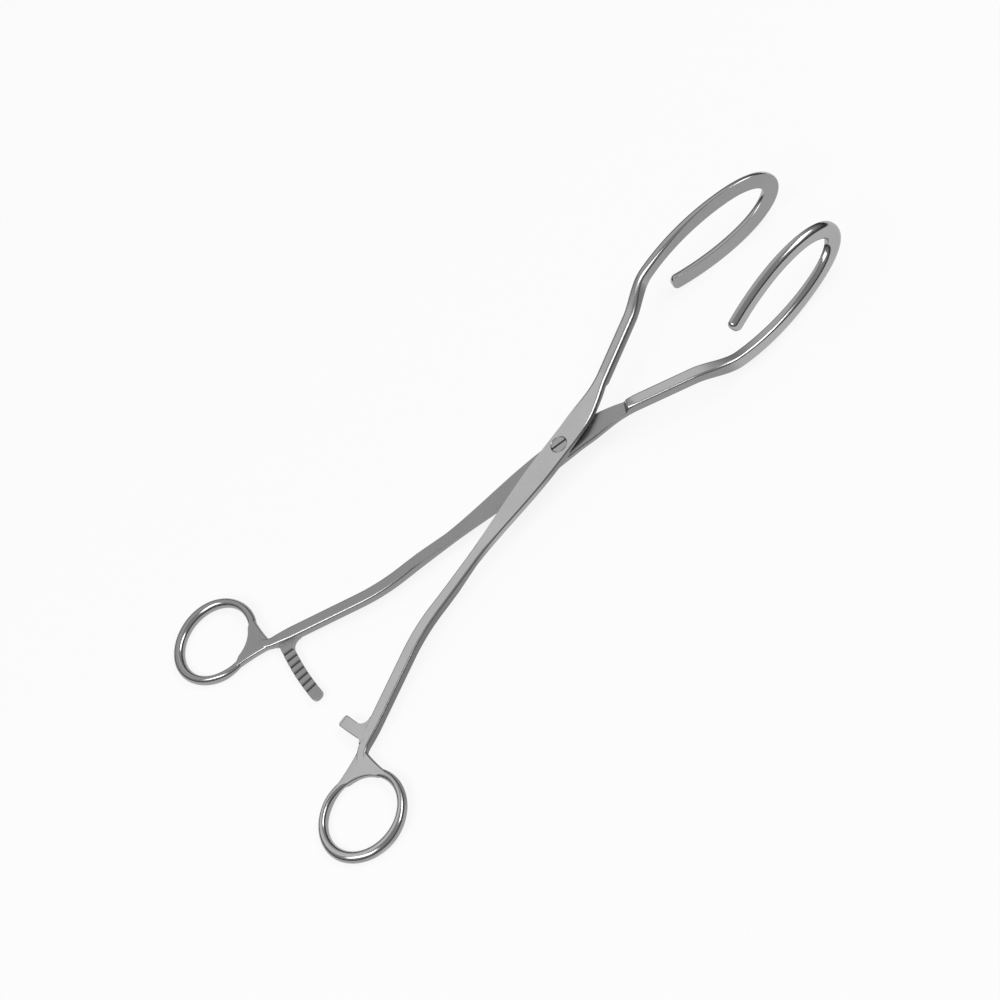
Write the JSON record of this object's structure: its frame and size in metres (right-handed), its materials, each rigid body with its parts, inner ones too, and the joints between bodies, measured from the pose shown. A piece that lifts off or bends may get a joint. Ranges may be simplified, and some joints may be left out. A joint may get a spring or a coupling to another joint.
{
  "type": "uterine elevating forceps",
  "caption": "Open-loop surgical forceps: two crossed steel arms on a slotted half-lap screw, finger rings, a toothed ratchet and C-shaped jaw loops.",
  "frame": {"origin": "on the pivot axis, in the lap plane midway through the joint's thickness", "axes": "+X along the closed instrument's centre line to the jaw tips, +Y across it to the finger ring of the lower arm, +Z along the pivot to the screw's slotted head"},
  "size_m": [0.2357, 0.1186, 0.0234],
  "materials": {
    "lower_arm_steel": "satin stainless steel, polished on the rounded backs and rings",
    "upper_arm_steel": "satin stainless steel, polished on the rounded backs and rings",
    "screw_steel": "turned stainless steel"
  },
  "bodies": {
    "lower_arm": {"lower_arm": "lower_arm_steel", "pivot_screw": "screw_steel"},
    "upper_arm": {"upper_arm": "upper_arm_steel"}
  },
  "joints": [
    {"name": "pivot", "type": "hinge", "parent": "lower_arm", "child": "upper_arm", "pos_m": [0, 0, 0], "axis": [0, 0, 1], "range_deg": [-12, 15]}
  ]
}
